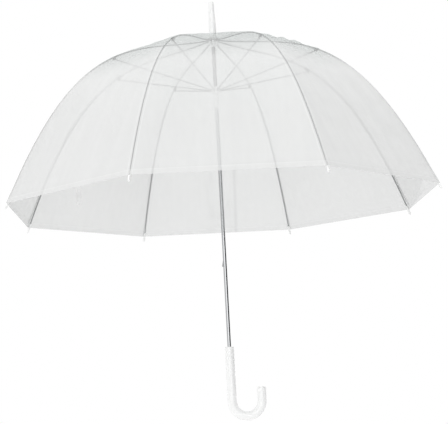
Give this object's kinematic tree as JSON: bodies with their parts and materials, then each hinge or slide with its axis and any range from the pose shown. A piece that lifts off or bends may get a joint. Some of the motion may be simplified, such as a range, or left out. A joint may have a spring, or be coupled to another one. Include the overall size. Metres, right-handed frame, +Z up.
{
  "type": "clear dome umbrella",
  "caption": "Clear film dome umbrella with a crook handle on a straight steel stick. Its ribs fold down the stick as the runner slides to the lower catch.",
  "frame": {"origin": "On the stick's axis, at the middle of the handle's straight grip", "axes": "+Z up the stick towards the ferrule; +X the way the crook handle opens; ribs stand at 22.5 degrees and every 45 degrees from +X"},
  "size_m": [0.8676, 0.8676, 0.8995],
  "materials": {
    "white_plastic": "smooth moulded, slightly translucent white",
    "chromed_steel": "bright plated tube",
    "dark_steel": "dark grey satin wire",
    "clear_film": "clear glossy film with frosted welds"
  },
  "bodies": {
    "stick": {"shaft": "chromed_steel", "handle": "white_plastic", "ferrule": "white_plastic", "notch": "white_plastic", "notch_wire": "dark_steel", "crown_washer": "white_plastic", "stop_pin": "chromed_steel", "spring_pin": "dark_steel"},
    "runner": {"runner": "white_plastic"},
    "top_spring": {"top_spring": "chromed_steel"},
    "bottom_spring": {"bottom_spring": "chromed_steel"},
    "rib_1": {"rib_1": "dark_steel"},
    "rib_outer_1": {"rib_outer_1": "dark_steel", "rib_cap_1": "white_plastic"},
    "stretcher_1": {"stretcher_1": "dark_steel"},
    "crown_panel_1": {"crown_panel_1": "clear_film"},
    "skirt_panel_1": {"skirt_panel_1": "clear_film"},
    "rib_2": {"rib_2": "dark_steel"},
    "rib_outer_2": {"rib_outer_2": "dark_steel", "rib_cap_2": "white_plastic"},
    "stretcher_2": {"stretcher_2": "dark_steel"},
    "crown_panel_2": {"crown_panel_2": "clear_film"},
    "skirt_panel_2": {"skirt_panel_2": "clear_film"},
    "rib_3": {"rib_3": "dark_steel"},
    "rib_outer_3": {"rib_outer_3": "dark_steel", "rib_cap_3": "white_plastic"},
    "stretcher_3": {"stretcher_3": "dark_steel"},
    "crown_panel_3": {"crown_panel_3": "clear_film"},
    "skirt_panel_3": {"skirt_panel_3": "clear_film"},
    "rib_4": {"rib_4": "dark_steel"},
    "rib_outer_4": {"rib_outer_4": "dark_steel", "rib_cap_4": "white_plastic"},
    "stretcher_4": {"stretcher_4": "dark_steel"},
    "crown_panel_4": {"crown_panel_4": "clear_film"},
    "skirt_panel_4": {"skirt_panel_4": "clear_film"},
    "rib_5": {"rib_5": "dark_steel"},
    "rib_outer_5": {"rib_outer_5": "dark_steel", "rib_cap_5": "white_plastic"},
    "stretcher_5": {"stretcher_5": "dark_steel"},
    "crown_panel_5": {"crown_panel_5": "clear_film"},
    "skirt_panel_5": {"skirt_panel_5": "clear_film", "closing_strap": "clear_film"},
    "rib_6": {"rib_6": "dark_steel"},
    "rib_outer_6": {"rib_outer_6": "dark_steel", "rib_cap_6": "white_plastic"},
    "stretcher_6": {"stretcher_6": "dark_steel"},
    "crown_panel_6": {"crown_panel_6": "clear_film"},
    "skirt_panel_6": {"skirt_panel_6": "clear_film"},
    "rib_7": {"rib_7": "dark_steel"},
    "rib_outer_7": {"rib_outer_7": "dark_steel", "rib_cap_7": "white_plastic"},
    "stretcher_7": {"stretcher_7": "dark_steel"},
    "crown_panel_7": {"crown_panel_7": "clear_film"},
    "skirt_panel_7": {"skirt_panel_7": "clear_film"},
    "rib_8": {"rib_8": "dark_steel"},
    "rib_outer_8": {"rib_outer_8": "dark_steel", "rib_cap_8": "white_plastic"},
    "stretcher_8": {"stretcher_8": "dark_steel"},
    "crown_panel_8": {"crown_panel_8": "clear_film"},
    "skirt_panel_8": {"skirt_panel_8": "clear_film"}
  },
  "joints": [
    {"name": "runner_slide", "type": "slide", "parent": "stick", "child": "runner", "axis": [0, 0, -1], "range_m": [0, 0.343], "deforming": ["crown_panel_1", "skirt_panel_1", "crown_panel_2", "skirt_panel_2", "crown_panel_3", "skirt_panel_3", "crown_panel_4", "skirt_panel_4", "crown_panel_5", "skirt_panel_5", "crown_panel_6", "skirt_panel_6", "crown_panel_7", "skirt_panel_7", "crown_panel_8", "skirt_panel_8", "closing_strap", "top_spring", "bottom_spring"]},
    {"name": "rib_hinge_1", "type": "hinge", "parent": "stick", "child": "rib_1", "pos_m": [0.00795, 0.00329, 0.714], "axis": [-0.3827, 0.9239, 0], "range_deg": [0, 72.53]},
    {"name": "rib_flex_1", "type": "hinge", "parent": "rib_1", "child": "rib_outer_1", "pos_m": [0.21172, 0.0877, 0.66273], "axis": [0.3827, -0.9239, 0], "range_deg": [0, 34.04]},
    {"name": "stretcher_hinge_1", "type": "hinge", "parent": "rib_1", "child": "stretcher_1", "pos_m": [0.2112, 0.08748, 0.6592], "axis": [0.3827, -0.9239, 0], "range_deg": [0, 145.05]},
    {"name": "crown_fold_1", "type": "hinge", "parent": "stick", "child": "crown_panel_1", "pos_m": [0.00562, 0.00562, 0.714], "axis": [-0.7071, 0.7071, 0], "range_deg": [0, 72.53]},
    {"name": "skirt_fold_1", "type": "hinge", "parent": "crown_panel_1", "child": "skirt_panel_1", "pos_m": [0.14971, 0.14971, 0.66273], "axis": [0.7071, -0.7071, 0], "range_deg": [0, 40.79]},
    {"name": "rib_hinge_2", "type": "hinge", "parent": "stick", "child": "rib_2", "pos_m": [0.00329, 0.00795, 0.714], "axis": [-0.9239, 0.3827, 0], "range_deg": [0, 72.53]},
    {"name": "rib_flex_2", "type": "hinge", "parent": "rib_2", "child": "rib_outer_2", "pos_m": [0.0877, 0.21172, 0.66273], "axis": [0.9239, -0.3827, 0], "range_deg": [0, 34.04]},
    {"name": "stretcher_hinge_2", "type": "hinge", "parent": "rib_2", "child": "stretcher_2", "pos_m": [0.08748, 0.2112, 0.6592], "axis": [0.9239, -0.3827, 0], "range_deg": [0, 145.05]},
    {"name": "crown_fold_2", "type": "hinge", "parent": "stick", "child": "crown_panel_2", "pos_m": [0, 0.00795, 0.714], "axis": [-1, 0, 0], "range_deg": [0, 72.53]},
    {"name": "skirt_fold_2", "type": "hinge", "parent": "crown_panel_2", "child": "skirt_panel_2", "pos_m": [0, 0.21172, 0.66273], "axis": [1, 0, 0], "range_deg": [0, 40.79]},
    {"name": "rib_hinge_3", "type": "hinge", "parent": "stick", "child": "rib_3", "pos_m": [-0.00329, 0.00795, 0.714], "axis": [-0.9239, -0.3827, 0], "range_deg": [0, 72.53]},
    {"name": "rib_flex_3", "type": "hinge", "parent": "rib_3", "child": "rib_outer_3", "pos_m": [-0.0877, 0.21172, 0.66273], "axis": [0.9239, 0.3827, 0], "range_deg": [0, 34.04]},
    {"name": "stretcher_hinge_3", "type": "hinge", "parent": "rib_3", "child": "stretcher_3", "pos_m": [-0.08748, 0.2112, 0.6592], "axis": [0.9239, 0.3827, 0], "range_deg": [0, 145.05]},
    {"name": "crown_fold_3", "type": "hinge", "parent": "stick", "child": "crown_panel_3", "pos_m": [-0.00562, 0.00562, 0.714], "axis": [-0.7071, -0.7071, 0], "range_deg": [0, 72.53]},
    {"name": "skirt_fold_3", "type": "hinge", "parent": "crown_panel_3", "child": "skirt_panel_3", "pos_m": [-0.14971, 0.14971, 0.66273], "axis": [0.7071, 0.7071, 0], "range_deg": [0, 40.79]},
    {"name": "rib_hinge_4", "type": "hinge", "parent": "stick", "child": "rib_4", "pos_m": [-0.00795, 0.00329, 0.714], "axis": [-0.3827, -0.9239, 0], "range_deg": [0, 72.53]},
    {"name": "rib_flex_4", "type": "hinge", "parent": "rib_4", "child": "rib_outer_4", "pos_m": [-0.21172, 0.0877, 0.66273], "axis": [0.3827, 0.9239, 0], "range_deg": [0, 34.04]},
    {"name": "stretcher_hinge_4", "type": "hinge", "parent": "rib_4", "child": "stretcher_4", "pos_m": [-0.2112, 0.08748, 0.6592], "axis": [0.3827, 0.9239, 0], "range_deg": [0, 145.05]},
    {"name": "crown_fold_4", "type": "hinge", "parent": "stick", "child": "crown_panel_4", "pos_m": [-0.00795, 0, 0.714], "axis": [0, -1, 0], "range_deg": [0, 72.53]},
    {"name": "skirt_fold_4", "type": "hinge", "parent": "crown_panel_4", "child": "skirt_panel_4", "pos_m": [-0.21172, 0, 0.66273], "axis": [0, 1, 0], "range_deg": [0, 40.79]},
    {"name": "rib_hinge_5", "type": "hinge", "parent": "stick", "child": "rib_5", "pos_m": [-0.00795, -0.00329, 0.714], "axis": [0.3827, -0.9239, 0], "range_deg": [0, 72.53]},
    {"name": "rib_flex_5", "type": "hinge", "parent": "rib_5", "child": "rib_outer_5", "pos_m": [-0.21172, -0.0877, 0.66273], "axis": [-0.3827, 0.9239, 0], "range_deg": [0, 34.04]},
    {"name": "stretcher_hinge_5", "type": "hinge", "parent": "rib_5", "child": "stretcher_5", "pos_m": [-0.2112, -0.08748, 0.6592], "axis": [-0.3827, 0.9239, 0], "range_deg": [0, 145.05]},
    {"name": "crown_fold_5", "type": "hinge", "parent": "stick", "child": "crown_panel_5", "pos_m": [-0.00562, -0.00562, 0.714], "axis": [0.7071, -0.7071, 0], "range_deg": [0, 72.53]},
    {"name": "skirt_fold_5", "type": "hinge", "parent": "crown_panel_5", "child": "skirt_panel_5", "pos_m": [-0.14971, -0.14971, 0.66273], "axis": [-0.7071, 0.7071, 0], "range_deg": [0, 40.79]},
    {"name": "rib_hinge_6", "type": "hinge", "parent": "stick", "child": "rib_6", "pos_m": [-0.00329, -0.00795, 0.714], "axis": [0.9239, -0.3827, 0], "range_deg": [0, 72.53]},
    {"name": "rib_flex_6", "type": "hinge", "parent": "rib_6", "child": "rib_outer_6", "pos_m": [-0.0877, -0.21172, 0.66273], "axis": [-0.9239, 0.3827, 0], "range_deg": [0, 34.04]},
    {"name": "stretcher_hinge_6", "type": "hinge", "parent": "rib_6", "child": "stretcher_6", "pos_m": [-0.08748, -0.2112, 0.6592], "axis": [-0.9239, 0.3827, 0], "range_deg": [0, 145.05]},
    {"name": "crown_fold_6", "type": "hinge", "parent": "stick", "child": "crown_panel_6", "pos_m": [0, -0.00795, 0.714], "axis": [1, 0, 0], "range_deg": [0, 72.53]},
    {"name": "skirt_fold_6", "type": "hinge", "parent": "crown_panel_6", "child": "skirt_panel_6", "pos_m": [0, -0.21172, 0.66273], "axis": [-1, 0, 0], "range_deg": [0, 40.79]},
    {"name": "rib_hinge_7", "type": "hinge", "parent": "stick", "child": "rib_7", "pos_m": [0.00329, -0.00795, 0.714], "axis": [0.9239, 0.3827, 0], "range_deg": [0, 72.53]},
    {"name": "rib_flex_7", "type": "hinge", "parent": "rib_7", "child": "rib_outer_7", "pos_m": [0.0877, -0.21172, 0.66273], "axis": [-0.9239, -0.3827, 0], "range_deg": [0, 34.04]},
    {"name": "stretcher_hinge_7", "type": "hinge", "parent": "rib_7", "child": "stretcher_7", "pos_m": [0.08748, -0.2112, 0.6592], "axis": [-0.9239, -0.3827, 0], "range_deg": [0, 145.05]},
    {"name": "crown_fold_7", "type": "hinge", "parent": "stick", "child": "crown_panel_7", "pos_m": [0.00562, -0.00562, 0.714], "axis": [0.7071, 0.7071, 0], "range_deg": [0, 72.53]},
    {"name": "skirt_fold_7", "type": "hinge", "parent": "crown_panel_7", "child": "skirt_panel_7", "pos_m": [0.14971, -0.14971, 0.66273], "axis": [-0.7071, -0.7071, 0], "range_deg": [0, 40.79]},
    {"name": "rib_hinge_8", "type": "hinge", "parent": "stick", "child": "rib_8", "pos_m": [0.00795, -0.00329, 0.714], "axis": [0.3827, 0.9239, 0], "range_deg": [0, 72.53]},
    {"name": "rib_flex_8", "type": "hinge", "parent": "rib_8", "child": "rib_outer_8", "pos_m": [0.21172, -0.0877, 0.66273], "axis": [-0.3827, -0.9239, 0], "range_deg": [0, 34.04]},
    {"name": "stretcher_hinge_8", "type": "hinge", "parent": "rib_8", "child": "stretcher_8", "pos_m": [0.2112, -0.08748, 0.6592], "axis": [-0.3827, -0.9239, 0], "range_deg": [0, 145.05]},
    {"name": "crown_fold_8", "type": "hinge", "parent": "stick", "child": "crown_panel_8", "pos_m": [0.00795, 0, 0.714], "axis": [0, 1, 0], "range_deg": [0, 72.53]},
    {"name": "skirt_fold_8", "type": "hinge", "parent": "crown_panel_8", "child": "skirt_panel_8", "pos_m": [0.21172, 0, 0.66273], "axis": [0, -1, 0], "range_deg": [0, 40.79]},
    {"name": "top_spring_press", "type": "hinge", "parent": "stick", "child": "top_spring", "pos_m": [-0.00255, 0, 0.545], "axis": [0, 1, 0], "range_deg": [0, 2.6], "stiffness_Nm_per_rad": 2},
    {"name": "bottom_spring_press", "type": "hinge", "parent": "stick", "child": "bottom_spring", "pos_m": [-0.00255, 0, 0.297], "axis": [0, -1, 0], "range_deg": [0, 1.7], "stiffness_Nm_per_rad": 2}
  ],
  "couplings": [
    {"joint": "rib_hinge_1", "follows": "runner_slide", "rad_per_m": 3.6899},
    {"joint": "rib_flex_1", "follows": "runner_slide", "rad_per_m": 1.7311},
    {"joint": "stretcher_hinge_1", "follows": "runner_slide", "rad_per_m": 7.3797},
    {"joint": "crown_fold_1", "follows": "runner_slide", "rad_per_m": 3.6899},
    {"joint": "skirt_fold_1", "follows": "runner_slide", "rad_per_m": 2.0745},
    {"joint": "rib_hinge_2", "follows": "runner_slide", "rad_per_m": 3.6899},
    {"joint": "rib_flex_2", "follows": "runner_slide", "rad_per_m": 1.7311},
    {"joint": "stretcher_hinge_2", "follows": "runner_slide", "rad_per_m": 7.3797},
    {"joint": "crown_fold_2", "follows": "runner_slide", "rad_per_m": 3.6899},
    {"joint": "skirt_fold_2", "follows": "runner_slide", "rad_per_m": 2.0745},
    {"joint": "rib_hinge_3", "follows": "runner_slide", "rad_per_m": 3.6899},
    {"joint": "rib_flex_3", "follows": "runner_slide", "rad_per_m": 1.7311},
    {"joint": "stretcher_hinge_3", "follows": "runner_slide", "rad_per_m": 7.3797},
    {"joint": "crown_fold_3", "follows": "runner_slide", "rad_per_m": 3.6899},
    {"joint": "skirt_fold_3", "follows": "runner_slide", "rad_per_m": 2.0745},
    {"joint": "rib_hinge_4", "follows": "runner_slide", "rad_per_m": 3.6899},
    {"joint": "rib_flex_4", "follows": "runner_slide", "rad_per_m": 1.7311},
    {"joint": "stretcher_hinge_4", "follows": "runner_slide", "rad_per_m": 7.3797},
    {"joint": "crown_fold_4", "follows": "runner_slide", "rad_per_m": 3.6899},
    {"joint": "skirt_fold_4", "follows": "runner_slide", "rad_per_m": 2.0745},
    {"joint": "rib_hinge_5", "follows": "runner_slide", "rad_per_m": 3.6899},
    {"joint": "rib_flex_5", "follows": "runner_slide", "rad_per_m": 1.7311},
    {"joint": "stretcher_hinge_5", "follows": "runner_slide", "rad_per_m": 7.3797},
    {"joint": "crown_fold_5", "follows": "runner_slide", "rad_per_m": 3.6899},
    {"joint": "skirt_fold_5", "follows": "runner_slide", "rad_per_m": 2.0745},
    {"joint": "rib_hinge_6", "follows": "runner_slide", "rad_per_m": 3.6899},
    {"joint": "rib_flex_6", "follows": "runner_slide", "rad_per_m": 1.7311},
    {"joint": "stretcher_hinge_6", "follows": "runner_slide", "rad_per_m": 7.3797},
    {"joint": "crown_fold_6", "follows": "runner_slide", "rad_per_m": 3.6899},
    {"joint": "skirt_fold_6", "follows": "runner_slide", "rad_per_m": 2.0745},
    {"joint": "rib_hinge_7", "follows": "runner_slide", "rad_per_m": 3.6899},
    {"joint": "rib_flex_7", "follows": "runner_slide", "rad_per_m": 1.7311},
    {"joint": "stretcher_hinge_7", "follows": "runner_slide", "rad_per_m": 7.3797},
    {"joint": "crown_fold_7", "follows": "runner_slide", "rad_per_m": 3.6899},
    {"joint": "skirt_fold_7", "follows": "runner_slide", "rad_per_m": 2.0745},
    {"joint": "rib_hinge_8", "follows": "runner_slide", "rad_per_m": 3.6899},
    {"joint": "rib_flex_8", "follows": "runner_slide", "rad_per_m": 1.7311},
    {"joint": "stretcher_hinge_8", "follows": "runner_slide", "rad_per_m": 7.3797},
    {"joint": "crown_fold_8", "follows": "runner_slide", "rad_per_m": 3.6899},
    {"joint": "skirt_fold_8", "follows": "runner_slide", "rad_per_m": 2.0745}
  ]
}
